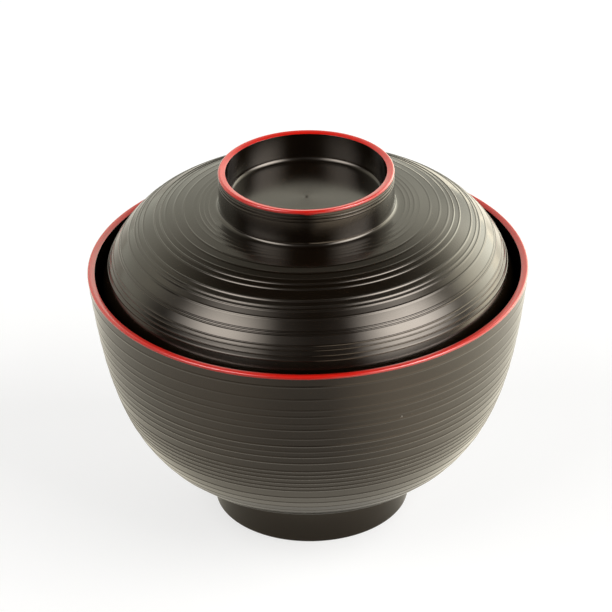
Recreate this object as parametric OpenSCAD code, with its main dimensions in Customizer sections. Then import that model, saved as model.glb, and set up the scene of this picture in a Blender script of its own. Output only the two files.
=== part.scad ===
// Lidded soup bowl. The bowl and its lid are turned black shells with fine raised lines round them,
// and each lip, the bowl's and the lid's ring knob's, wears a coat of red lacquer.
// The origin is the centre of the foot's underside, with +Z up.

/* [Bowl] */
// Diameter over the red coat on the bowl's lip
rim_d = 118; // [108:1:130]
// Height from the table to the top of the bowl's lip
bowl_h = 72.2; // [66:0.1:84]
// Wall just under the lip, square to its surface
rim_wall = 1.8; // [1.4:0.1:2.4]
// Wall where it meets the foot, square to its surface
base_wall = 2.6; // [2:0.1:3.4]
// Lean of the wall from upright just under the lip, in degrees
rim_lean = 6; // [3:0.5:9]
// How far the curve keeps to that lean
rim_reach = 35; // [28:0.5:40]
// Rise of the underside where it leaves the foot, in degrees
belly_rise = 21; // [14:0.5:28]
// How far the underside keeps to that rise
belly_reach = 24.5; // [20:0.5:30]

/* [Foot ring] */
// Diameter of the foot ring
foot_d = 53.4; // [46:0.2:60]
// Height from the table to where the bowl leaves the foot
foot_h = 10.5; // [9:0.5:13]
// Thickness of the foot ring
foot_wall = 2.8; // [2:0.1:4]
// Thickness of the bowl's floor over the hollow in the foot
floor_t = 2.6; // [2:0.1:3.4]
// Fillet between the foot and the underside
foot_fillet = 1.2; // [0.6:0.1:2]
// Rounding of the edge that stands on the table
foot_edge = 0.4; // [0.2:0.1:0.8]

/* [Lid] */
// Wall of the lid, square to its surface
lid_wall = 2; // [1.6:0.1:2.4]
// How far the lid's edge sinks below the bowl's lip
seat_depth = 7.7; // [6:0.1:10]
// Clearance between the lid's edge and the bowl's wall
seat_gap = 0.3; // [0.2:0.05:0.5]
// Height of the lid's crown above the bowl's lip
crown_rise = 17.75; // [14:0.05:22]
// Lean of the lid from upright at its edge, in degrees
edge_lean = 9; // [5:0.5:13]
// How far the curve keeps to that lean
edge_reach = 24.5; // [20:0.5:26]
// How far the crown runs level out from the knob
crown_reach = 9.5; // [6:0.5:14]

/* [Knob] */
// Diameter over the red coat on the knob's lip
knob_d = 46.6; // [40:0.2:52]
// Height of the knob's lip above the crown
knob_h = 10.3; // [9:0.05:13]
// Thickness of the knob's ring at its lip
knob_wall = 1.8; // [1.4:0.1:2.4]
// Depth of the hollow in the knob, at its centre
knob_depth = 8.1; // [7.3:0.05:9.2]
// Thickness of the lid at its centre
centre_t = 2.8; // [2.2:0.1:3.6]
// Widening of the ring's outside from lip to crown, on the radius
knob_flare = 0.2; // [0:0.05:0.4]
// Narrowing of the hollow from lip to floor, on the radius
hollow_draft = 0.45; // [0:0.05:0.8]
// Fillet between the ring and the crown
knob_fillet = 0.8; // [0.4:0.1:1.4]
// Fillet round the floor of the hollow
floor_fillet = 1.3; // [0.6:0.1:2]
// Width of the moulding mark at the centre of the hollow
mark_d = 1.6; // [1:0.1:2.4]
// Depth of the moulding mark
mark_depth = 0.15; // [0.1:0.05:0.4]

/* [Red lacquer] */
// Thickness of the coat
coat_t = 0.35; // [0.25:0.05:0.45]
// How far the coat comes down outside a lip
coat_drop = 0.8; // [0.7:0.05:1.6]
// How far the coat comes down inside a lip
coat_tuck = 0.45; // [0.4:0.05:0.9]
// How far the coat stands proud of the black wall below it
coat_proud = 0.12; // [0.05:0.01:0.2]
// Rounding of the coat's outer top edge
lip_round = 0.5; // [0.4:0.05:0.65]
// Rounding of the coat's inner top edge
inner_round = 0.35; // [0.25:0.05:0.4]

/* [Raised lines] */
// Rounding of a raised line on the bowl
bowl_line_round = 0.7; // [0.4:0.05:0.75]
// Height of the strongest raised line on the bowl
bowl_line_rise = 0.17; // [0.05:0.01:0.2]
// Rounding of a raised line on the lid
lid_line_round = 0.4; // [0.2:0.05:0.5]
// Height of the strongest raised line on the lid
lid_line_rise = 0.11; // [0.04:0.01:0.14]
// Height of the raised lines under the knob's lip
knob_line_rise = 0.06; // [0.03:0.01:0.1]

/* [Hidden] */
black = "#2a2420";
red = "#c8201a";

// Steps along a long curve, along the dished floors, along a fillet, over a raised line,
// and round the turned shapes
curve_steps = 44;
dish_steps = 12;
fillet_steps = 5;
line_steps = 6;
turn_steps = 180;

// The raised lines, from lip to foot on the bowl and from knob to edge on the lid. Each has its
// share of the way along the outer curve, and its share of the strongest line's height.
bowl_line_shares = [
    [0.025, 0.95], [0.066, 0.6], [0.103, 0.5], [0.125, 0.65], [0.153, 0.4], [0.174, 0.7],
    [0.209, 0.6], [0.24, 0.95], [0.265, 0.5], [0.289, 0.8], [0.32, 0.8], [0.362, 1],
    [0.383, 0.8], [0.405, 1], [0.432, 0.95], [0.458, 1], [0.483, 1], [0.539, 1],
    [0.587, 0.8], [0.636, 0.8], [0.688, 0.9], [0.796, 0.5]];
lid_line_shares = [
    [0.27, 0.5], [0.334, 0.6], [0.392, 0.6], [0.427, 0.8], [0.468, 0.8], [0.547, 1],
    [0.585, 1], [0.61, 1], [0.654, 1], [0.724, 0.7], [0.739, 0.7], [0.791, 1],
    [0.812, 0.8], [0.836, 0.8], [0.858, 0.7]];
// The knob's lines, from its coat down to the crown
knob_line_shares = [[0.12, 1], [0.24, 0.8]];

// Levels, from the table up
coat_z = bowl_h - coat_drop;
crown_z = bowl_h + crown_rise;
knob_z = crown_z + knob_h;
knob_coat_z = knob_z - coat_drop;
knob_floor_z = knob_z - knob_depth;
edge_z = bowl_h - seat_depth;

function unit(v) = v / norm(v);
function turned(angle) = [cos(angle), sin(angle)];

// A cubic curve through two end points, with the direction and reach it has at each of them
function curve(p, t) =
    pow(1 - t, 3) * p[0] + 3 * pow(1 - t, 2) * t * p[1] + 3 * (1 - t) * t * t * p[2] + pow(t, 3) * p[3];
function pace(p, t) =
    3 * (pow(1 - t, 2) * (p[1] - p[0]) + 2 * (1 - t) * t * (p[2] - p[1]) + t * t * (p[3] - p[2]));
function heading(p, t) = unit(pace(p, t));
// The direction square to the curve, away from the inside of the shell
function outward(p, t) = let (h = heading(p, t)) [-h.y, h.x];
function shell(p, t, inset) = curve(p, t) - inset * outward(p, t);
function straight(from, to) = [from, (2 * from + to) / 3, (from + 2 * to) / 3, to];
// Points of an arc about a centre
function arc(centre, radius, from, to, steps = fillet_steps) =
    [for (i = [0 : steps]) centre + radius * turned(from + (to - from) * i / steps)];
// The share of the way down a falling curve at which its height is h
function share_at(height, h, low = 0, high = 1, tries = 30) =
    let (middle = (low + high) / 2)
    tries == 0 ? middle
    : height(middle) > h ? share_at(height, h, middle, high, tries - 1)
    : share_at(height, h, low, middle, tries - 1);

// The bowl's outer curve, from under the lip down to the foot
rim_r = rim_d / 2;
foot_r = foot_d / 2;
wall_top = [rim_r - coat_proud, coat_z];
wall_foot = [foot_r, foot_h];
bowl_curve = [
    wall_top,
    wall_top - rim_reach * [sin(rim_lean), cos(rim_lean)],
    wall_foot + belly_reach * turned(belly_rise),
    wall_foot];
function bowl_wall(t) = rim_wall + (base_wall - rim_wall) * t;
function bowl_inner(t) = shell(bowl_curve, t, bowl_wall(t));
inner_start = share_at(function (t) bowl_inner(t).y, coat_z);
rim_inner_r = bowl_inner(inner_start).x;

// The bowl's floor: a shallow dish, an arc about the axis that carries the wall's curve on
dish_r = bowl_inner(1).x / sin(belly_rise);
dish_z = bowl_inner(1).y + dish_r * cos(belly_rise);
floor_z = dish_z - dish_r;

// The hollow in the foot follows the floor's dish, with a fillet where it meets the ring
foot_inner_r = foot_r - foot_wall;
hollow_dish_r = dish_r + floor_t;
corner_x = foot_inner_r - foot_fillet;
corner_z = dish_z - sqrt(pow(hollow_dish_r + foot_fillet, 2) - corner_x * corner_x);
corner_angle = atan2(corner_z - dish_z, corner_x);

// The lid's edge has a round nose, whose centre keeps the seat's clearance from the bowl's wall
nose_r = lid_wall / 2;
function nose_path(t) = shell(bowl_curve, t, bowl_wall(t) + seat_gap + nose_r);
nose = nose_path(share_at(function (t) nose_path(t).y, edge_z));

// The lid's outer curve, from the knob down to the edge
knob_r = knob_d / 2;
crown_r = knob_r - coat_proud + knob_flare;
crown_start = [crown_r, crown_z];
edge_end = nose + nose_r * turned(edge_lean);
lid_curve = [
    crown_start,
    crown_start + [crown_reach, 0],
    edge_end + edge_reach * [-sin(edge_lean), cos(edge_lean)],
    edge_end];
function lid_inner(t) = shell(lid_curve, t, lid_wall);
knob_inner_r = knob_r - knob_wall - coat_proud;
hollow_r = knob_inner_r - hollow_draft;
ceiling_z = knob_floor_z - centre_t;

// The inside of the crown rises gently from the knob's foot to the lid's centre
function ceiling(share) =
    [crown_r * (1 - share), lid_inner(0).y + (ceiling_z - lid_inner(0).y) * (1 - cos(180 * share)) / 2];

// A lip's black core, from its inner side over to its outer side
function lip_core(inner_r, outer_r, top) = [
    [inner_r, top - coat_tuck],
    [inner_r + coat_t, top - coat_tuck],
    [inner_r + coat_t, top - coat_t],
    [outer_r - coat_t, top - coat_t],
    [outer_r - coat_t, top - coat_drop]];

// The red coat over such a lip, with both top edges rounded
module lip_coat_section(inner_r, outer_r, top) {
    polygon(concat(
        lip_core(inner_r, outer_r, top),
        [[outer_r, top - coat_drop]],
        arc([outer_r - lip_round, top - lip_round], lip_round, 0, 90),
        arc([inner_r + inner_round, top - inner_round], inner_round, 90, 180)));
}

// A raised line: an arc that stands out of the curve by its share of the rise
function line_arc(p, line, radius, rise) =
    let (away = outward(p, line[0]), height = rise * line[1])
    let (middle = atan2(away.y, away.x), side = acos(1 - height / radius))
    arc(curve(p, line[0]) + (height - radius) * away, radius, middle + side, middle - side, line_steps);
// The share of the curve from a line's middle to where the land beside it begins, clear of the arc
function line_reach(p, line, radius, rise) =
    1.5 * sqrt(rise * line[1] * (2 * radius - rise * line[1])) / norm(pace(p, line[0]));
// A shell's outer curve: its own points on the lands, and an arc for each raised line
function lined(p, lines, radius, rise, steps = curve_steps) =
    [for (i = [0 : len(lines)])
        let (low = i == 0 ? -1 : lines[i - 1][0] + line_reach(p, lines[i - 1], radius, rise))
        let (high = i == len(lines) ? 1 : lines[i][0] - line_reach(p, lines[i], radius, rise))
        each concat(
            [for (k = [0 : steps - 1]) if (k / steps > low && k / steps < high) curve(p, k / steps)],
            i == len(lines) ? [] : line_arc(p, lines[i], radius, rise))];

// Half of the bowl cut through its axis: floor, inner wall, lip, outer wall, fillet, foot and hollow
module bowl_section() {
    fillet_z = foot_h + foot_fillet * (tan(belly_rise) - 1 / cos(belly_rise));
    polygon(concat(
        arc([0, dish_z], dish_r, -90, belly_rise - 90, dish_steps),
        [for (i = [1 : curve_steps]) bowl_inner(1 - (1 - inner_start) * i / curve_steps)],
        lip_core(rim_inner_r, rim_r, bowl_h),
        lined(bowl_curve, bowl_line_shares, bowl_line_round, bowl_line_rise),
        arc([foot_r + foot_fillet, fillet_z], foot_fillet, 90 + belly_rise, 180),
        arc([foot_r - foot_edge, foot_edge], foot_edge, 0, -90),
        arc([foot_inner_r + foot_edge, foot_edge], foot_edge, -90, -180),
        arc([corner_x, corner_z], foot_fillet, 0, corner_angle + 180),
        arc([0, dish_z], hollow_dish_r, corner_angle, -90, dish_steps)));
}

// Half of the lid cut through its axis: hollow, knob, crown, shoulder, nose and inside
module lid_section() {
    ring_side = straight([knob_r - coat_proud, knob_coat_z], crown_start);
    difference() {
        polygon(concat(
            [[0, knob_floor_z]],
            arc([hollow_r - floor_fillet, knob_floor_z + floor_fillet], floor_fillet, -90, 0),
            lip_core(knob_inner_r, knob_r, knob_z),
            lined(ring_side, knob_line_shares, lid_line_round, knob_line_rise, 1),
            arc([crown_r + knob_fillet, crown_z + knob_fillet], knob_fillet, 180, 270),
            [for (p = lined(lid_curve, lid_line_shares, lid_line_round, lid_line_rise))
                if (p.x > crown_r + knob_fillet) p],
            arc(nose, nose_r, edge_lean, edge_lean - 180),
            [for (i = [1 : curve_steps]) lid_inner(1 - i / curve_steps)],
            [for (i = [1 : dish_steps]) ceiling(i / dish_steps)]));
        moulding_mark();
    }
}

// The shallow round-bottomed mark where the lid was moulded
module moulding_mark() {
    mark_r = (mark_d * mark_d / 4 + mark_depth * mark_depth) / (2 * mark_depth);
    translate([0, knob_floor_z + mark_r - mark_depth])
        circle(mark_r, $fn = 64);
}

module turn() {
    rotate_extrude($fn = turn_steps)
        children();
}

module bowl() {
    color(black)
        turn()
            bowl_section();
}

module bowl_lip_coat() {
    color(red)
        turn()
            lip_coat_section(rim_inner_r, rim_r, bowl_h);
}

module lid() {
    color(black)
        turn()
            lid_section();
}

module knob_lip_coat() {
    color(red)
        turn()
            lip_coat_section(knob_inner_r, knob_r, knob_z);
}

bowl();
bowl_lip_coat();
lid();
knob_lip_coat();
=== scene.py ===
import math

import bpy
import numpy as np
from mathutils import Matrix, Vector


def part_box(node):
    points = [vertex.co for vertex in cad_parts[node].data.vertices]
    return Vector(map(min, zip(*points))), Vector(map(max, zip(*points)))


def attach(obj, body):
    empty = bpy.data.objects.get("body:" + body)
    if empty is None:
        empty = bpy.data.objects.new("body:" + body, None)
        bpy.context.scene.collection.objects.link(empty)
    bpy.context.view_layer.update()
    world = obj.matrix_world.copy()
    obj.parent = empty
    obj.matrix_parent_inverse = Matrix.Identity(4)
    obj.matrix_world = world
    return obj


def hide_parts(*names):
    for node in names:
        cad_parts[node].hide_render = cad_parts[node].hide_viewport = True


# A lidded soup bowl: two turned black lacquer shells with raised lines, and a red lacquer coat
# over the bowl's lip and over the lip of the lid's ring knob. Sizes are in metres.

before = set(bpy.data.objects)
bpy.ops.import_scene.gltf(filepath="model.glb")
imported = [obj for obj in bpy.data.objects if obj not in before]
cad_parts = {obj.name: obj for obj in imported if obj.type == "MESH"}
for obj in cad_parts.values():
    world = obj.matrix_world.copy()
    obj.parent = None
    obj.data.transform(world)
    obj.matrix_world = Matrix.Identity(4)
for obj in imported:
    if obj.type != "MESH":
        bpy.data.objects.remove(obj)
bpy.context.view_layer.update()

MM = 0.001

# The photograph's camera: where it stands from the bowl's axis, and how it is aimed, in degrees
CAMERA_BACK = 736.46 * MM
CAMERA_UP = 486.17 * MM
CAMERA_DIP = 30.133
CAMERA_TURN = 0.047
CAMERA_ROLL = -1.059
CAMERA_LENS = 185.53
CAMERA_SENSOR = 36
CAMERA_NEAR = 0.05
CAMERA_FAR = 30

# The bowl's shell, with the solid's own sizes
RIM_WALL = 1.8 * MM
BASE_WALL = 2.6 * MM
RIM_LEAN = 6
RIM_REACH = 35 * MM
BELLY_RISE = 21
BELLY_REACH = 24.5 * MM
FOOT_R = 26.7 * MM
FOOT_H = 10.5 * MM
FOOT_WALL = 2.8 * MM
FLOOR_T = 2.6 * MM
FOOT_FILLET = 1.2 * MM
FOOT_EDGE = 0.4 * MM

# The lid's shell and its ring knob
LID_WALL = 2 * MM
SEAT_GAP = 0.3 * MM
EDGE_LEAN = 9
EDGE_REACH = 24.5 * MM
CROWN_REACH = 9.5 * MM
KNOB_H = 10.3 * MM
KNOB_WALL = 1.8 * MM
KNOB_DEPTH = 8.1 * MM
CENTRE_T = 2.8 * MM
KNOB_FLARE = 0.2 * MM
HOLLOW_DRAFT = 0.45 * MM
KNOB_FILLET = 1.1 * MM
FLOOR_FILLET = 1.5 * MM
MARK_R = 0.75 * MM
MARK_DEPTH = 0.1 * MM

# The red coats, and how far their painted edge wanders down the wall
COAT_T = 0.35 * MM
COAT_TUCK = 0.4 * MM
COAT_PROUD = 0.12 * MM
COAT_EDGE_ROUND = 0.1 * MM
COAT_WANDER = 0.12 * MM
# A lip is rounded outside, then falls inwards in a long shallow curve, by LIP_LEAN degrees at first
LIP_ROUND = 0.5 * MM
LIP_LEAN = 7
LIP_CURVE = 5 * MM
INNER_ROUND = 0.06 * MM
# How far the face above the painted edge stops short of the lip's round, and the share of the
# edge's wander that it follows
FACE_GAP = 0.01 * MM
FACE_FOLLOWS = 0.1
# How far the red has darkened where its darkening starts, of 1 at its very edge: it thins at
# its painted edges, and on the lip's inner side the darkening is painted shade
THIN_AND_SHADE_START = 0.2
# The run of red on the knob: its place and width in degrees, and how far it falls
KNOB_RUN = (-88.5, 4, 0.3 * MM)

# The raised lines: share of the way along the outer curve, rise and half width in millimetres
BOWL_LINES = [
    (0.025, 0.1, 0.45), (0.066, 0.06, 0.4), (0.103, 0.05, 0.4), (0.125, 0.07, 0.4),
    (0.153, 0.045, 0.4), (0.174, 0.075, 0.42), (0.209, 0.065, 0.42), (0.24, 0.1, 0.45),
    (0.265, 0.05, 0.4), (0.289, 0.09, 0.42), (0.32, 0.09, 0.42), (0.362, 0.105, 0.45),
    (0.383, 0.09, 0.42), (0.405, 0.105, 0.45), (0.432, 0.1, 0.42), (0.458, 0.105, 0.42),
    (0.483, 0.105, 0.45), (0.539, 0.105, 0.45), (0.587, 0.09, 0.45), (0.636, 0.09, 0.45),
    (0.688, 0.09, 0.45), (0.796, 0.05, 0.45)]
LID_LINES = [
    (0.088, 0.03, 0.5), (0.126, 0.02, 0.45), (0.16, 0.035, 0.5), (0.199, 0.015, 0.45),
    (0.27, 0.06, 0.5), (0.334, 0.07, 0.5), (0.392, 0.07, 0.5), (0.427, 0.15, 0.38),
    (0.467, 0.15, 0.38), (0.546, 0.14, 0.44), (0.5835, 0.14, 0.44), (0.608, 0.14, 0.44),
    (0.655, 0.1, 0.5), (0.724, 0.085, 0.36), (0.739, 0.085, 0.36), (0.791, 0.085, 0.34),
    (0.812, 0.075, 0.3), (0.836, 0.075, 0.3), (0.858, 0.065, 0.3)]
KNOB_LINES = [(0.07, 0.04, 0.2), (0.15, 0.08, 0.25), (0.25, 0.07, 0.25)]
# Width of a line before its top, as a share of its width after it, on the bowl and on the lid
BOWL_LEAN = 1
LID_LEAN = 0.6
# How much a line's rise wanders round the turn, and its shift from the last line's, in radians
LINE_WANDER = 0.12
LINE_SHIFT = 2.4
# How far the lands between lines are hollow, as a share of their width
LAND_HOLLOW_SHARE = 0.01

# How matt the black lacquer is: plain faces, lined ones with the knob, and the knob's glossy foot
SATIN_PLAIN = 1.0
SATIN_LINED = 0.0
SATIN_KNOB_FOOT = -1.0

# Points round the shells and coats, along their curves, and over a line in half widths
SHELL_TURNS = 240
COAT_TURNS = 480
CURVE_STEPS = 46
DISH_STEPS = 14
FILLET_STEPS = 7
LIP_STEPS = 12
EDGE_STEPS = 5
INNER_STEPS = 4
# Points over which the lip's inner side darkens to painted shade
INNER_SHADE_STEPS = 6
LINE_STEPS = np.array([-1.25, -1, -0.8, -0.58, -0.35, 0, 0.35, 0.58, 0.8, 1, 1.25])
DENSE_STEPS = 2000
# Points of a lined stretch and of a whole section that lie closer than this are left out
LINE_SPACING = 0.03 * MM
POINT_SPACING = 0.004 * MM
# A section's end within this radius is on the axis, and edges past this angle are sharp
AXIS_R = 1e-7
SHARP_ANGLE = 50

# The lacquers' colours
BLACK_DEEP = (0.0028, 0.0014, 0.0005, 1)
BLACK_PALE = (0.0044, 0.0026, 0.0013, 1)
BLACK_SHEEN = (1, 0.89, 0.77, 1)
DUST_COLOUR = (0.5, 0.46, 0.4, 1)
RED_DEEP = (0.55, 0.006, 0.002, 1)
RED_PALE = (0.63, 0.011, 0.004, 1)
# Darker red where the coat thins at its painted edges, and painted shade on the lip's inner side
RED_THIN_AND_SHADE = (0.2, 0.008, 0.005, 1)
RED_STREAK = (0.26, 0.008, 0.005, 1)
# Height of the lathe's marks in the black and of the brush's in the red
BLACK_MARKS = 0.004 * MM
RED_MARKS = 0.003 * MM

# The lamps for plain colours, how far off they stand, and each one's name, azimuth, elevation,
# width and height in degrees, and radiance
LAMP_DISTANCE = 2.5
LAMPS = [("softbox_left", -64, 39, 50, 38, 3.4), ("softbox_right", 68, 34, 50, 45, 4.8),
         ("softbox_behind", 138, 14, 60, 34, 2.2)]
# What shows in gloss: centre, half width and softness in azimuth, then lowest and highest rise
# (sine of the elevation) and their softness, and radiance. A softbox is a core and its halo.
CARDS = [(-55, 20, 17, 0.33, 0.79, 0.17, 10), (-57, 40, 34, 0.35, 0.82, 0.25, 1.2),
         (62, 22, 17, 0.2, 0.765, 0.17, 14.5), (64, 40, 34, 0.35, 0.82, 0.25, 0.9),
         (127, 22, 17, -0.3, 0.52, 0.25, 4.8), (163, 14, 8, 0.35, 0.62, 0.1, 0.8),
         (180, 78, 14, -0.3, 0.69, 0.25, 1.4)]
GLOSS_BEHIND = (1, 1, 0.86, 1)
# The room's level, and what it gains low down behind the bowl for plain colours alone
WORLD_DARK = 0.03
WORLD_PALE = 0.85
# The floor's colour, and its colour in gloss far in front, where it is dark
FLOOR_SIZE = 12
FLOOR_COLOUR = (0.4, 0.396, 0.388, 1)
FLOOR_FAR_COLOUR = (0.08, 0.08, 0.08, 1)
# The floor's glow for the camera, and what it gains far off
FLOOR_TINT = (1, 1, 0.995, 1)
FLOOR_GLOW = 0.62
FLOOR_FAR_GLOW = 0.38
# The floor's glow in gloss: its tints in front and behind, and its level and gains by place
GLOSS_TINT_FRONT = (1, 0.89, 0.72, 1)
GLOSS_TINT_BEHIND = (1, 0.93, 0.73, 1)
GLOSS_FRONT = 0.31
GLOSS_LEFT = 0.34
GLOSS_RIGHT = 1.0
GLOSS_FAR_RIGHT = 1.5
GLOSS_CLOSE = 0.42

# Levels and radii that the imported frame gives
coat_low, coat_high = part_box("bowl_lip_coat")
knob_low, knob_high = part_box("knob_lip_coat")
lid_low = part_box("lid")[0]
rim_r = coat_high.x
rim_z = coat_high.z
coat_z = coat_low.z
knob_r = knob_high.x
knob_z = knob_high.z
knob_coat_z = knob_low.z
crown_z = knob_z - KNOB_H


def unit(v):
    """Vectors scaled to length one."""
    return v / np.linalg.norm(v, axis=-1, keepdims=True)


def turned(angle):
    """The unit vector, or vectors, at an angle in degrees from the radius towards up."""
    angle = np.radians(angle)
    return np.stack([np.cos(angle), np.sin(angle)], -1)


def arc(centre, radius, start, end, steps=FILLET_STEPS):
    """Points of a circle about a centre, at even angles from start to end."""
    return np.array(centre) + radius * turned(np.linspace(start, end, steps + 1))


def curve(p, t):
    """Cubic curve: the four points weighed by (1-t)^3, 3(1-t)^2 t, 3(1-t) t^2 and t^3."""
    t = np.asarray(t, float)[..., None]
    return ((1 - t) ** 3 * p[0] + 3 * (1 - t) ** 2 * t * p[1]
            + 3 * (1 - t) * t * t * p[2] + t ** 3 * p[3])


def outward(p, t):
    """The unit vector square to the cubic curve: its heading, a quarter turn to the left.

    The heading is the steps between the four points, weighed by (1-t)^2, 2(1-t) t and t^2.
    """
    t = np.asarray(t, float)[..., None]
    h = unit((1 - t) ** 2 * (p[1] - p[0]) + 2 * (1 - t) * t * (p[2] - p[1]) + t * t * (p[3] - p[2]))
    return np.stack([-h[..., 1], h[..., 0]], -1)


def shell(p, t, inset):
    """The cubic curve moved inwards, square to itself, by the inset."""
    return curve(p, t) - np.asarray(inset)[..., None] * outward(p, t)


def share_at(points, height, shares):
    """The share at which points that fall steadily are at a height."""
    return np.interp(-height, -points[:, 1], shares)


def even_turns(count):
    """Angles at even steps all the way round, without the last, which is the first again."""
    return np.linspace(0, 2 * math.pi, count, endpoint=False)


dense = np.linspace(0, 1, DENSE_STEPS + 1)
wall_top = np.array([rim_r - COAT_PROUD, coat_z])
wall_foot = np.array([FOOT_R, FOOT_H])
rim_lean = math.radians(RIM_LEAN)
bowl_curve = np.array([
    wall_top,
    wall_top - RIM_REACH * np.array([math.sin(rim_lean), math.cos(rim_lean)]),
    wall_foot + BELLY_REACH * turned(BELLY_RISE),
    wall_foot])


def bowl_wall(t):
    """Wall thickness, growing evenly from lip to foot."""
    return RIM_WALL + (BASE_WALL - RIM_WALL) * np.asarray(t)


bowl_inner = shell(bowl_curve, dense, bowl_wall(dense))
inner_start = share_at(bowl_inner, coat_z, dense)
rim_inner_r = shell(bowl_curve, inner_start, bowl_wall(inner_start))[0]
dish_r = bowl_inner[-1, 0] / math.sin(math.radians(BELLY_RISE))
dish_z = bowl_inner[-1, 1] + dish_r * math.cos(math.radians(BELLY_RISE))

nose_r = LID_WALL / 2
nose_path = shell(bowl_curve, dense, bowl_wall(dense) + SEAT_GAP + nose_r)
nose_share = share_at(nose_path, lid_low.z + nose_r, dense)
nose = shell(bowl_curve, nose_share, bowl_wall(nose_share) + SEAT_GAP + nose_r)
crown_r = knob_r - COAT_PROUD + KNOB_FLARE
edge_lean = math.radians(EDGE_LEAN)
edge_end = nose + nose_r * turned(EDGE_LEAN)
lid_curve = np.array([
    [crown_r, crown_z],
    [crown_r + CROWN_REACH, crown_z],
    edge_end + EDGE_REACH * np.array([-math.sin(edge_lean), math.cos(edge_lean)]),
    edge_end])
knob_inner_r = knob_r - KNOB_WALL - COAT_PROUD
hollow_r = knob_inner_r - HOLLOW_DRAFT
knob_floor_z = knob_z - KNOB_DEPTH
ceiling_z = knob_floor_z - CENTRE_T


class LinedCurve:
    """The part of a turned path that carries raised lines."""

    def __init__(self, points, normals, lines, lean=1):
        run = np.r_[0, np.cumsum(np.linalg.norm(np.diff(points, axis=0), axis=1))]
        share, rise, half = np.array(lines).T
        self.places = np.interp(share, np.linspace(0, 1, len(points)), run)
        self.rises, self.halves, self.lean = rise * MM, half * MM, lean
        across = np.where(LINE_STEPS < 0, lean * LINE_STEPS, LINE_STEPS)
        steps = np.concatenate([
            np.linspace(0, run[-1], CURVE_STEPS + 1),
            (self.places[:, None] + self.halves[:, None] * across).ravel()])
        steps = np.unique(np.clip(steps, 0, run[-1]))
        keep = np.r_[True, np.diff(steps) > LINE_SPACING]
        keep[-1] = True
        self.run = steps[keep]
        self.points = np.stack([np.interp(self.run, run, points[:, k]) for k in (0, 1)], -1)
        self.normals = unit(np.stack([np.interp(self.run, run, normals[:, k]) for k in (0, 1)], -1))

    def line(self):
        """Share of full rise of each line at each point: (1 - x^2)^2 across its half width."""
        x = (self.run[:, None] - self.places) / self.halves
        x = np.clip(np.where(x < 0, x / self.lean, x), -1, 1)
        return (1 - x * x) ** 2

    def hollow(self):
        """The lands between lines sink by 1 - (2x - 1)^2 of a small share of their width."""
        after = np.clip(np.searchsorted(self.places, self.run), 1, len(self.places) - 1)
        start, end = self.places[after - 1], self.places[after]
        x = np.clip((self.run - start) / (end - start), 0, 1)
        return LAND_HOLLOW_SHARE * (end - start) * (1 - (2 * x - 1) ** 2)

    def rise(self, turns):
        """Height over the plain curve at each point and turn.

        Each line's rise wanders by a sine of one, two or three waves, shifted from the last's.
        """
        index = np.arange(len(self.places))[:, None]
        wander = 1 + LINE_WANDER * np.sin((1 + index % 3) * turns + LINE_SHIFT * index)
        return self.line() @ (self.rises[:, None] * wander) - self.hollow()[:, None]


class Path:
    """A turned piece's section, from plain stretches and lined ones."""

    def __init__(self):
        self.points, self.normals, self.curves, self.satins = [], [], [], []

    def plain(self, points, satin=SATIN_PLAIN):
        """Adds points that stay where they are."""
        points = np.atleast_2d(points)
        self.points.append(points)
        self.normals.append(np.zeros_like(points))
        self.curves.append(None)
        self.satins.append(satin)

    def lined(self, stretch, satin=SATIN_LINED):
        """Adds a lined curve, whose points rise along its normals."""
        self.points.append(stretch.points)
        self.normals.append(stretch.normals)
        self.curves.append(stretch)
        self.satins.append(satin)

    def grids(self, turns):
        """Radius, height and satin (how matt the lacquer is) at each section point and turn."""
        points, normals = np.concatenate(self.points), np.concatenate(self.normals)
        rise = np.concatenate([
            np.zeros((len(p), len(turns))) if c is None else c.rise(turns)
            for p, c in zip(self.points, self.curves)])
        satin = np.concatenate([np.full((len(p), len(turns)), value)
                                for p, value in zip(self.points, self.satins)])
        keep = np.r_[True, np.linalg.norm(np.diff(points, axis=0), axis=1) > POINT_SPACING]
        place = points[keep][:, None] + normals[keep][:, None] * rise[keep][..., None]
        return place[..., 0], place[..., 1], satin[keep]


def unrolled(faces, place):
    """UV of the faces' corners: u once round the turn, v along the section, closed over the seam.

    A fan's third corner is the pole, which takes the middle of its face's u.
    """
    uv = place[faces]
    ends = 2 if faces.shape[1] == 3 else 4
    u = uv[:, :ends, 0]
    u += (u < 0.5) & (np.ptp(u, axis=1, keepdims=True) > 0.5)
    if ends == 2:
        uv[:, 2, 0] = u.mean(1)
    return uv.reshape(-1, 2)


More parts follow.
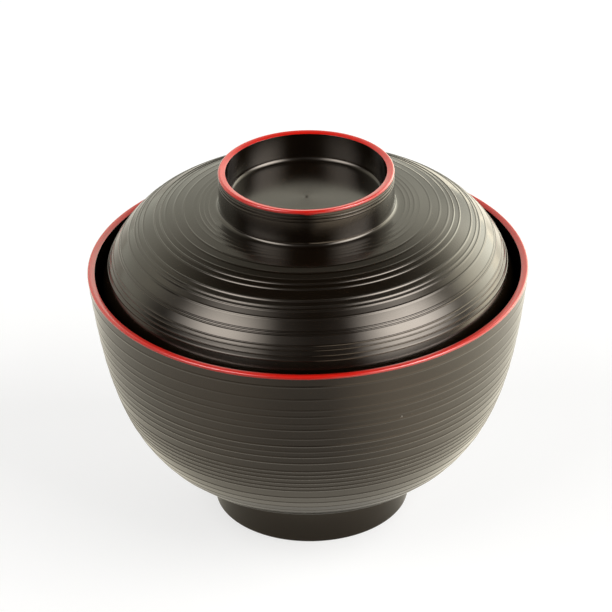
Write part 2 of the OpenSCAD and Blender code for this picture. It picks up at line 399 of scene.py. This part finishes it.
def turned_mesh(name, radius, height, turns, marks):
    """A grid turned about the axis: x = radius cos, y = radius sin of each turn, z = height.

    A section end on the axis becomes one pole point with a fan, and a section that ends on its
    start closes on itself. The piece's own attributes say where a point lies on the turning:
    turning holds the cosine, the sine and the run along the section, and each mark one value.
    """
    rows, columns = radius.shape
    run = np.r_[0, np.cumsum(np.hypot(np.diff(radius[:, 0]), np.diff(height[:, 0])))]
    first_pole, last_pole = radius[0].max() < AXIS_R, radius[-1].max() < AXIS_R
    low, high = int(first_pole), rows - int(last_pole)
    c, s = np.cos(turns), np.sin(turns)
    grid = np.stack([radius * c, radius * s, height], -1)[low:high]
    mark = {key: value[low:high].ravel() for key, value in marks.items()}
    turning = np.stack(np.broadcast_arrays(c[None], s[None], run[low:high, None]), -1)
    turning = turning.reshape(-1, 3)
    points = grid.reshape(-1, 3)
    index = np.arange(len(points)).reshape(high - low, columns)
    if not first_pole and not last_pole:
        index = np.vstack([index, index[:1]])
    around = np.roll(index, -1, axis=1)
    quads = np.stack([index[:-1], index[1:], around[1:], around[:-1]], -1).reshape(-1, 4)
    share = np.repeat(run[low:high] / run[-1], columns)
    place = np.stack([np.arange(len(points)) % columns / columns, share], -1)
    fans = []
    for pole, row, flip in ((first_pole, 0, True), (last_pole, -1, False)):
        if pole:
            tip = len(points)
            points = np.vstack([points, [0, 0, height[row, 0]]])
            turning = np.vstack([turning, [0, 0, run[row]]])
            place = np.vstack([place, [0, run[row] / run[-1]]])
            mark = {key: np.append(value, marks[key][row, 0]) for key, value in mark.items()}
            edge = np.stack([index[row], around[row]], -1)
            edge = edge[:, ::-1] if flip else edge
            fans += np.column_stack([edge, np.full(columns, tip)]).tolist()
    mesh = bpy.data.meshes.new(name)
    mesh.from_pydata(points, [], quads.tolist() + fans)
    uv = [unrolled(np.array(faces), place) for faces in (quads, fans) if len(faces)]
    mesh.uv_layers.new(name="turn").data.foreach_set("uv", np.concatenate(uv).ravel())
    mesh.shade_smooth()
    mesh.set_sharp_from_angle(angle=math.radians(SHARP_ANGLE))
    turnings = mesh.attributes.new("turning", "FLOAT_VECTOR", "POINT")
    turnings.data.foreach_set("vector", turning.ravel())
    for key, value in mark.items():
        mesh.attributes.new(key, "FLOAT", "POINT").data.foreach_set("value", value)
    mesh.update()
    piece = bpy.data.objects.new(name, mesh)
    bpy.context.scene.collection.objects.link(piece)
    return piece


def lacquered(piece, material, body, node):
    """Gives a piece its lacquer, the body it rides on and the solid it replaces."""
    piece.data.materials.append(material)
    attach(piece, body)
    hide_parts(node)


def turned_piece(name, path, material, body, node):
    """A black shell from its section, with a mark for how matt each part is."""
    turns = even_turns(SHELL_TURNS)
    radius, height, satin = path.grids(turns)
    piece = turned_mesh(name, radius, height, turns, {"satin": satin})
    lacquered(piece, material, body, node)


def lip_core(inner_r, outer_r, top, low):
    """A lip's black core under its coat, from its inner side over to its outer side."""
    return np.array([
        [inner_r, top - COAT_TUCK],
        [inner_r + COAT_T, top - COAT_TUCK],
        [inner_r + COAT_T, top - COAT_T],
        [outer_r - COAT_T, top - COAT_T],
        [outer_r - COAT_T, low]])


def lined_cubic(p, lines, lean):
    """The cubic curve with its raised lines, which rise along its outward vectors."""
    return LinedCurve(curve(p, dense), outward(p, dense), lines, lean)


def kept(stretch, which):
    """The lined stretch with only some of its points."""
    stretch.run, stretch.points, stretch.normals = (
        stretch.run[which], stretch.points[which], stretch.normals[which])
    return stretch


def bowl_path():
    """Floor, inner wall, lip, lined outer wall, fillet, foot and the hollow under it.

    The floor and the hollow's roof are arcs about one centre. The floor meets the wall at its
    slope, and a fillet joins the roof to the foot.
    """
    path = Path()
    path.plain(arc([0, dish_z], dish_r, -90, BELLY_RISE - 90, DISH_STEPS))
    t = np.linspace(1, inner_start, CURVE_STEPS // 2)[1:]
    path.plain(shell(bowl_curve, t, bowl_wall(t)))
    path.plain(lip_core(rim_inner_r, rim_r, rim_z, coat_z))
    path.lined(lined_cubic(bowl_curve, BOWL_LINES, BOWL_LEAN))
    rise = math.radians(BELLY_RISE)
    fillet_z = FOOT_H + FOOT_FILLET * (math.tan(rise) - 1 / math.cos(rise))
    path.plain(arc([FOOT_R + FOOT_FILLET, fillet_z], FOOT_FILLET, 90 + BELLY_RISE, 180))
    path.plain(arc([FOOT_R - FOOT_EDGE, FOOT_EDGE], FOOT_EDGE, 0, -90))
    inner_r = FOOT_R - FOOT_WALL
    path.plain(arc([inner_r + FOOT_EDGE, FOOT_EDGE], FOOT_EDGE, -90, -180))
    roof_r = dish_r + FLOOR_T
    corner_x = inner_r - FOOT_FILLET
    corner_z = dish_z - math.sqrt((roof_r + FOOT_FILLET) ** 2 - corner_x ** 2)
    corner = math.degrees(math.atan2(corner_z - dish_z, corner_x))
    path.plain(arc([corner_x, corner_z], FOOT_FILLET, 0, corner + 180))
    path.plain(arc([0, dish_z], roof_r, corner, -90, DISH_STEPS))
    return path


def lid_path():
    """Moulding mark, hollow, knob, crown, lined shoulder, round nose and the inside.

    The mark dips by half of 1 + cos, and the inside's middle eases to its level by half of
    1 - cos.
    """
    path = Path()
    share = np.linspace(0, 1, DISH_STEPS)
    dip = MARK_DEPTH * (1 + np.cos(math.pi * share)) / 2
    path.plain(np.stack([MARK_R * share, knob_floor_z - dip], -1))
    floor_r = hollow_r - FLOOR_FILLET
    path.plain(np.stack([np.linspace(2 * MARK_R, floor_r, DISH_STEPS)[:-1],
                         np.full(DISH_STEPS - 1, knob_floor_z)], -1))
    path.plain(arc([floor_r, knob_floor_z + FLOOR_FILLET], FLOOR_FILLET, -90, 0), SATIN_LINED)
    path.plain(lip_core(knob_inner_r, knob_r, knob_z, knob_coat_z), SATIN_LINED)
    ring_top = np.array([knob_r - COAT_PROUD, knob_coat_z])
    ring_foot = np.array([crown_r, crown_z])
    ring = ring_top + dense[:, None] * (ring_foot - ring_top)
    side = np.broadcast_to([1.0, 0.0], ring.shape)
    ring_side = LinedCurve(ring, side, KNOB_LINES)
    path.lined(kept(ring_side, ring_side.run < ring_side.run[-1] - KNOB_FILLET))
    path.plain(arc([crown_r + KNOB_FILLET, crown_z + KNOB_FILLET], KNOB_FILLET, 180, 270),
               SATIN_KNOB_FOOT)
    shoulder = lined_cubic(lid_curve, LID_LINES, LID_LEAN)
    path.lined(kept(shoulder, shoulder.points[:, 0] > crown_r + KNOB_FILLET))
    path.plain(arc(nose, nose_r, EDGE_LEAN, EDGE_LEAN - 180, 2 * FILLET_STEPS))
    t = np.linspace(1, 0, CURVE_STEPS // 2)
    path.plain(shell(lid_curve, t, LID_WALL))
    inside_z = shell(lid_curve, 0, LID_WALL)[1]
    ease = (1 - np.cos(math.pi * share)) / 2
    path.plain(np.stack([crown_r * (1 - share), inside_z + (ceiling_z - inside_z) * ease], -1))
    return path


def coat_wave(turns, depth, runs):
    """How far the painted edge wanders down the wall: slow sines, and a bell for each run.

    A run of red falls by e^(-g^2), where g is the angle from its middle over its width.
    """
    wave = depth * (0.5 + 0.28 * np.sin(3 * turns + 1.1) + 0.14 * np.sin(7 * turns + 2.9)
                    + 0.08 * np.sin(16 * turns + 0.6))
    for place, width, fall in runs:
        gap = np.angle(np.exp(1j * (turns - math.radians(place))))
        wave = wave + fall * np.exp(-(gap / math.radians(width)) ** 2)
    return wave


def coat_piece(name, inner_r, outer_r, top, low, wall_r, runs, material, body, node):
    """The red coat on a lip: its section follows the core, then the wall down to a painted edge.

    The lip is an arc outside, a long shallow arc that falls inwards, and a small arc at its end.
    The section's stretch on the wall moves with the edge, lower or higher round the turn.
    """
    turns = even_turns(COAT_TURNS)
    wave = coat_wave(turns, COAT_WANDER, runs)
    core = lip_core(inner_r, outer_r, top, low)
    lean = 90 + LIP_LEAN
    outer_arc = arc([outer_r - LIP_ROUND, top - LIP_ROUND], LIP_ROUND, 0, lean, LIP_STEPS)
    centre = outer_arc[-1] - LIP_CURVE * turned(lean)
    inner_curve = LIP_CURVE - INNER_ROUND
    end = 90 + math.degrees(math.asin((centre[0] - inner_r - INNER_ROUND) / inner_curve))
    fall = arc(centre, LIP_CURVE, lean, end, LIP_STEPS)[1:]
    inner_arc = arc(centre + inner_curve * turned(end), INNER_ROUND, end, 180, INNER_STEPS)[1:]
    edge_x = outer_r - COAT_EDGE_ROUND
    edge = arc([edge_x, low + COAT_EDGE_ROUND], COAT_EDGE_ROUND, -80, 0, EDGE_STEPS)
    face = [[outer_r, top - LIP_ROUND - FACE_GAP]]
    wall = [[wall_r, low]]
    section = np.vstack([core, wall, wall, edge, face, outer_arc, fall, inner_arc])
    first = len(core) + len(wall)
    last = first + len(wall) + len(edge)
    moved = np.zeros(len(section))
    moved[first:last] = 1
    moved[last] = FACE_FOLLOWS
    # Darker red: thin at the painted edge outside, painted shade on the lip's inner side to its
    # tuck
    thin_and_shade = np.zeros(len(section))
    thin_and_shade[:2] = 1
    thin_and_shade[first - 1:last] = 1
    thin_and_shade[last] = THIN_AND_SHADE_START
    thin_and_shade[-INNER_SHADE_STEPS:] = np.linspace(THIN_AND_SHADE_START, 1, INNER_SHADE_STEPS)
    radius, height, thin_and_shade = (np.repeat(column[:, None], len(turns), 1)
                            for column in (section[:, 0], section[:, 1], thin_and_shade))
    piece = turned_mesh(name, radius, height - moved[:, None] * wave, turns, {"thin_and_shade": thin_and_shade})
    lacquered(piece, material, body, node)


def make_camera():
    """The photograph's camera, dipped from level, then turned and rolled about its own axes."""
    data = bpy.data.cameras.new("camera")
    data.sensor_width = CAMERA_SENSOR
    data.lens = CAMERA_LENS
    data.clip_start, data.clip_end = CAMERA_NEAR, CAMERA_FAR
    camera = bpy.data.objects.new("camera", data)
    bpy.context.scene.collection.objects.link(camera)
    camera.matrix_world = (
        Matrix.Translation((0, -CAMERA_BACK, CAMERA_UP))
        @ Matrix.Rotation(math.radians(90 - CAMERA_DIP), 4, "X")
        @ Matrix.Rotation(math.radians(CAMERA_TURN), 4, "Y")
        @ Matrix.Rotation(math.radians(CAMERA_ROLL), 4, "Z"))
    bpy.context.scene.camera = camera


class Nodes:
    """Short calls for building a node tree."""

    def __init__(self, tree):
        self.tree = tree

    def add(self, kind, links=None, **settings):
        """A node with its settings, and each input linked to a socket or set to a value."""
        node = self.tree.nodes.new(kind)
        for key, value in settings.items():
            setattr(node, key, value)
        for key, value in (links or {}).items():
            if isinstance(value, bpy.types.NodeSocket):
                self.tree.links.new(value, node.inputs[key])
            else:
                node.inputs[key].default_value = value
        return node

    def math(self, operation, a, b=0.0, clamp=False):
        """The result of one sum on two values."""
        node = self.add("ShaderNodeMath", {0: a, 1: b}, operation=operation, use_clamp=clamp)
        return node.outputs[0]


def node_group(name, inputs, outputs):
    """A shader node group with named sockets, and its inside ends."""
    tree = bpy.data.node_groups.new(name, "ShaderNodeTree")
    for label, kind in inputs:
        tree.interface.new_socket(label, in_out="INPUT", socket_type=kind)
    for label, kind in outputs:
        tree.interface.new_socket(label, in_out="OUTPUT", socket_type=kind)
    n = Nodes(tree)
    return tree, n, n.add("NodeGroupInput").outputs, n.add("NodeGroupOutput").inputs


def turning_marks_group():
    """Fine marks that run round the turn: noise stretched along the cosine and sine of the turn."""
    tree, n, inside, out = node_group(
        "turning_marks",
        [("Turning", "NodeSocketVector"), ("Fineness", "NodeSocketFloat"),
         ("Length", "NodeSocketFloat")],
        [("Marks", "NodeSocketFloat")])
    parts = n.add("ShaderNodeSeparateXYZ", {0: inside["Turning"]}).outputs
    stretched = n.add("ShaderNodeCombineXYZ", {
        0: n.math("MULTIPLY", parts[0], inside["Length"]),
        1: n.math("MULTIPLY", parts[1], inside["Length"]),
        2: n.math("MULTIPLY", parts[2], inside["Fineness"])}).outputs[0]
    noise = n.add("ShaderNodeTexNoise", {
        "Vector": stretched, "Scale": 1.0, "Detail": 3.0, "Roughness": 0.6})
    tree.links.new(noise.outputs["Fac"], out["Marks"])
    return tree


def dust_group():
    """Sparse small specks of dust: cells of a Voronoi pattern whose own random value is rare."""
    tree, n, inside, out = node_group(
        "dust",
        [("Vector", "NodeSocketVector"), ("Scale", "NodeSocketFloat"), ("Size", "NodeSocketFloat"),
         ("Share", "NodeSocketFloat")],
        [("Specks", "NodeSocketFloat")])
    cells = n.add("ShaderNodeTexVoronoi", {"Vector": inside["Vector"], "Scale": inside["Scale"]})
    chance = n.add("ShaderNodeSeparateColor", {0: cells.outputs["Color"]}).outputs[0]
    picked = n.math("LESS_THAN", chance, inside["Share"])
    near = n.math("LESS_THAN", cells.outputs["Distance"], inside["Size"])
    tree.links.new(n.math("MULTIPLY", picked, near), out["Specks"])
    return tree


def use_group(n, tree, links):
    """The first output of a node group placed in a material."""
    return n.add("ShaderNodeGroup", links, node_tree=tree).outputs[0]


def mix_colour(n, share, a, b):
    """Colour a at share 0, and colour b at share 1."""
    return n.add("ShaderNodeMix", {0: share, 6: a, 7: b}, data_type="RGBA").outputs[2]


def mix_value(n, share, a, b):
    """Value a at share 0, and value b at share 1."""
    return n.add("ShaderNodeMix", {0: share, 2: a, 3: b}, data_type="FLOAT").outputs[0]


def smooth(n, value, start, end):
    """A smooth rise from 0 at start to 1 at end, or a fall where start is the greater."""
    links = {"Value": value, "From Min": start, "From Max": end}
    return n.add("ShaderNodeMapRange", links, interpolation_type="SMOOTHSTEP").outputs[0]


def attribute(n, name, output):
    """An output of one of the piece's own attributes."""
    return n.add("ShaderNodeAttribute", attribute_name=name).outputs[output]


def new_material(name):
    """An empty material, its nodes and the surface input of its output."""
    material = bpy.data.materials.new(name)
    material.use_nodes = True
    material.node_tree.nodes.clear()
    n = Nodes(material.node_tree)
    return material, n, n.add("ShaderNodeOutputMaterial").inputs["Surface"]


def black_lacquer(marks, dust):
    """Satin black lacquer, faintly brown, with the lathe's fine marks and a little dust."""
    material, n, surface = new_material("black_lacquer")
    turning = attribute(n, "turning", "Vector")
    place = n.add("ShaderNodeTexCoord").outputs["Object"]
    fine = use_group(n, marks, {"Turning": turning, "Fineness": 5000.0, "Length": 6.0})
    broad = use_group(n, marks, {"Turning": turning, "Fineness": 1500.0, "Length": 1.5})
    specks = use_group(n, dust, {"Vector": place, "Scale": 300.0, "Size": 0.09, "Share": 0.012})
    cloud = n.add("ShaderNodeTexNoise", {"Vector": place, "Scale": 90.0, "Detail": 2.0})
    colour = mix_colour(n, cloud.outputs["Fac"], BLACK_DEEP, BLACK_PALE)
    colour = mix_colour(n, n.math("MULTIPLY", specks, 0.25), colour, DUST_COLOUR)
    rough = n.math("ADD", 0.13, n.math("MULTIPLY", attribute(n, "satin", "Fac"), 0.07))
    rough = n.math("ADD", rough, n.math("MULTIPLY", broad, 0.04))
    rough = n.math("ADD", rough, n.math("MULTIPLY", specks, 0.4), clamp=True)
    height = n.math("ADD", n.math("MULTIPLY", fine, 0.6), broad)
    normal = n.add("ShaderNodeBump", {"Height": height, "Strength": 1.0, "Distance": BLACK_MARKS})
    around = n.add("ShaderNodeTangent", direction_type="UV_MAP", uv_map="turn")
    shader = n.add("ShaderNodeBsdfPrincipled", {
        "Base Color": colour, "Roughness": rough, "Normal": normal.outputs[0], "IOR": 1.5,
        "Anisotropic": 0.6, "Anisotropic Rotation": 0.25, "Tangent": around.outputs[0],
        "Specular Tint": BLACK_SHEEN})
    n.tree.links.new(shader.outputs[0], surface)
    return material


def red_lacquer(marks):
    """Glossy red lacquer laid on by brush: fine streaks, darker where it thins at its painted
    edges.

    It darkens by thin_and_shade^2, times a quarter more than the streaks. On the lip's inner
    side this darker red is painted shade.
    """
    material, n, surface = new_material("red_lacquer")
    turning = attribute(n, "turning", "Vector")
    thin_and_shade = attribute(n, "thin_and_shade", "Fac")
    streaks = use_group(n, marks, {"Turning": turning, "Fineness": 6000.0, "Length": 14.0})
    patches = use_group(n, marks, {"Turning": turning, "Fineness": 300.0, "Length": 9.0})
    colour = mix_colour(n, patches, RED_DEEP, RED_PALE)
    # Darker red where it thins, and painted shade on the lip's inner side
    edge = n.math("MULTIPLY", n.math("MULTIPLY", thin_and_shade, thin_and_shade), n.math("ADD", 0.25, streaks),
                  clamp=True)
    colour = mix_colour(n, edge, colour, RED_THIN_AND_SHADE)
    brushed = smooth(n, streaks, 0.5, 0.68)
    colour = mix_colour(n, n.math("MULTIPLY", brushed, 0.35), colour, RED_STREAK)
    rough = n.math("ADD", 0.2, n.math("MULTIPLY", patches, 0.1))
    bump = n.add("ShaderNodeBump", {"Height": streaks, "Strength": 1.0, "Distance": RED_MARKS})
    normal = bump.outputs[0]
    shader = n.add("ShaderNodeBsdfPrincipled", {
        "Base Color": colour, "Roughness": rough, "Normal": normal, "IOR": 1.15,
        "Coat Weight": 1.0, "Coat Roughness": 0.04, "Coat IOR": 1.5, "Coat Normal": normal})
    n.tree.links.new(shader.outputs[0], surface)
    return material


def softbox(name, azimuth, elevation, wide, high, radiance):
    """A soft lamp for plain colours, as wide and as high as it looks from the bowl, in degrees.

    Azimuth is from straight over the camera, to the right. What shows in gloss is in the world.
    """
    width, height = (2 * LAMP_DISTANCE * math.tan(math.radians(a) / 2) for a in (wide, high))
    data = bpy.data.lights.new(name, "AREA")
    data.shape = "RECTANGLE"
    data.size, data.size_y = width, height
    data.energy = radiance * math.pi * width * height
    lamp = bpy.data.objects.new(name, data)
    bpy.context.scene.collection.objects.link(lamp)
    a, e = math.radians(azimuth), math.radians(elevation)
    back = Vector((math.sin(a) * math.cos(e), -math.cos(a) * math.cos(e), math.sin(e)))
    lamp.location = Vector((0, 0, rim_z)) + back * LAMP_DISTANCE
    lamp.rotation_mode = "QUATERNION"
    lamp.rotation_quaternion = back.to_track_quat("Z", "Y")
    lamp.visible_camera = False
    lamp.visible_glossy = False


def soft_card(n, azimuth, rise, centre, half, soft, low, high, fade):
    """A soft-edged card of the studio: 1 inside its azimuths, in degrees, and its heights."""
    turn = n.add("ShaderNodeMath", {0: n.math("SUBTRACT", azimuth, math.radians(centre)),
                                    1: math.pi, 2: -math.pi}, operation="WRAP").outputs[0]
    across = smooth(n, n.math("ABSOLUTE", turn),
                    math.radians(half + soft), math.radians(half - soft))
    up = n.math("MULTIPLY", smooth(n, rise, low - fade, low + fade),
                smooth(n, rise, high + fade, high - fade))
    return n.math("MULTIPLY", across, up)


def studio_world():
    """Plain white for the camera, the softboxes and cards for gloss, and a dim room for colours."""
    world = bpy.data.worlds.new("studio")
    world.use_nodes = True
    world.node_tree.nodes.clear()
    n = Nodes(world.node_tree)
    heading = n.add("ShaderNodeTexCoord").outputs["Generated"]
    x, y, rise = n.add("ShaderNodeSeparateXYZ", {0: heading}).outputs
    azimuth = n.math("ARCTAN2", x, n.math("MULTIPLY", y, -1.0))
    room = n.math("MULTIPLY", smooth(n, rise, 0.9, 0.3), smooth(n, y, -0.3, 0.6))
    room = n.math("ADD", WORLD_DARK, n.math("MULTIPLY", room, WORLD_PALE))
    gloss = WORLD_DARK
    for *place, radiance in CARDS:
        card = soft_card(n, azimuth, rise, *place)
        gloss = n.math("ADD", gloss, n.math("MULTIPLY", card, radiance))
    path = n.add("ShaderNodeLightPath").outputs
    seen = n.math("MAXIMUM", path["Is Camera Ray"], path["Is Transmission Ray"])
    strength = mix_value(n, seen, mix_value(n, path["Is Glossy Ray"], room, gloss), 1.0)
    warm = n.math("MULTIPLY", path["Is Glossy Ray"], smooth(n, y, -0.2, 0.4))
    background = n.add("ShaderNodeBackground", {
        "Color": mix_colour(n, warm, (1, 1, 1, 1), GLOSS_BEHIND), "Strength": strength})
    output = n.add("ShaderNodeOutputWorld")
    n.tree.links.new(background.outputs[0], output.inputs["Surface"])
    bpy.context.scene.world = world


def studio_floor():
    """A pale floor that keeps the object's shadow, and glows for the camera and a little for gloss.

    In gloss it is dark far in front, and its glow grows to the right and close to the bowl.
    """
    material, n, surface = new_material("studio_floor")
    path = n.add("ShaderNodeLightPath").outputs
    place = n.add("ShaderNodeTexCoord").outputs["Object"]
    x, y = n.add("ShaderNodeSeparateXYZ", {0: place}).outputs[:2]
    away = n.add("ShaderNodeVectorMath", {0: place}, operation="LENGTH").outputs["Value"]
    lit = smooth(n, y, -0.3, -0.09)
    gloss = n.math("MULTIPLY", lit, GLOSS_FRONT)
    close = n.math("MULTIPLY", smooth(n, away, 0.034, 0.042), GLOSS_CLOSE)
    right = n.math("MULTIPLY", smooth(n, y, 0.12, -0.02), GLOSS_RIGHT / 2)
    right = n.math("ADD", right, GLOSS_RIGHT / 2)
    far = n.math("MULTIPLY", smooth(n, away, 0.1, 0.22), GLOSS_FAR_RIGHT)
    # Where each further glow starts and is full, in metres, and how strong it is
    for value, start, end, gain in (
            (x, 0.01, 0.08, right), (x, 0.0, 0.2, far), (x, 0.35, 0.9, 2 * GLOSS_FAR_RIGHT),
            (x, -0.01, -0.08, GLOSS_LEFT), (away, 0.09, 0.045, close)):
        gloss = n.math("ADD", gloss, n.math("MULTIPLY", smooth(n, value, start, end), gain))
    seen = n.math("MAXIMUM", path["Is Camera Ray"], path["Is Transmission Ray"])
    shown = n.math("MULTIPLY", smooth(n, away, 0.45, 1.6), FLOOR_FAR_GLOW)
    shown = n.math("ADD", FLOOR_GLOW, shown)
    glow = n.math("ADD", n.math("MULTIPLY", seen, shown),
                  n.math("MULTIPLY", path["Is Glossy Ray"], gloss))
    tint = mix_colour(n, smooth(n, y, -0.15, 0.0), GLOSS_TINT_FRONT, GLOSS_TINT_BEHIND)
    tint = mix_colour(n, path["Is Glossy Ray"], FLOOR_TINT, tint)
    dark = n.math("MULTIPLY", path["Is Glossy Ray"], n.math("SUBTRACT", 1.0, lit))
    colour = mix_colour(n, dark, FLOOR_COLOUR, FLOOR_FAR_COLOUR)
    diffuse = n.add("ShaderNodeBsdfDiffuse", {"Color": colour})
    emission = n.add("ShaderNodeEmission", {"Color": tint, "Strength": glow})
    both = n.add("ShaderNodeAddShader", {0: diffuse.outputs[0], 1: emission.outputs[0]})
    n.tree.links.new(both.outputs[0], surface)
    half = FLOOR_SIZE / 2
    corners = [(-half, -half, 0), (half, -half, 0), (half, half, 0), (-half, half, 0)]
    mesh = bpy.data.meshes.new("floor")
    mesh.from_pydata(corners, [], [(0, 1, 2, 3)])
    mesh.materials.append(material)
    floor = bpy.data.objects.new("floor", mesh)
    bpy.context.scene.collection.objects.link(floor)


bpy.context.scene.view_settings.view_transform = "Standard"
make_camera()
studio_world()
studio_floor()
for lamp in LAMPS:
    softbox(*lamp)

marks = turning_marks_group()
dust = dust_group()
black = black_lacquer(marks, dust)
red = red_lacquer(marks)
turned_piece("bowl_shell", bowl_path(), black, "bowl", "bowl")
turned_piece("lid_shell", lid_path(), black, "lid", "lid")
coat_piece("bowl_lip_red", rim_inner_r, rim_r, rim_z, coat_z, rim_r - COAT_PROUD, [],
           red, "bowl", "bowl_lip_coat")
coat_piece("knob_lip_red", knob_inner_r, knob_r, knob_z, knob_coat_z, knob_r - COAT_PROUD,
           [KNOB_RUN], red, "lid", "knob_lip_coat")
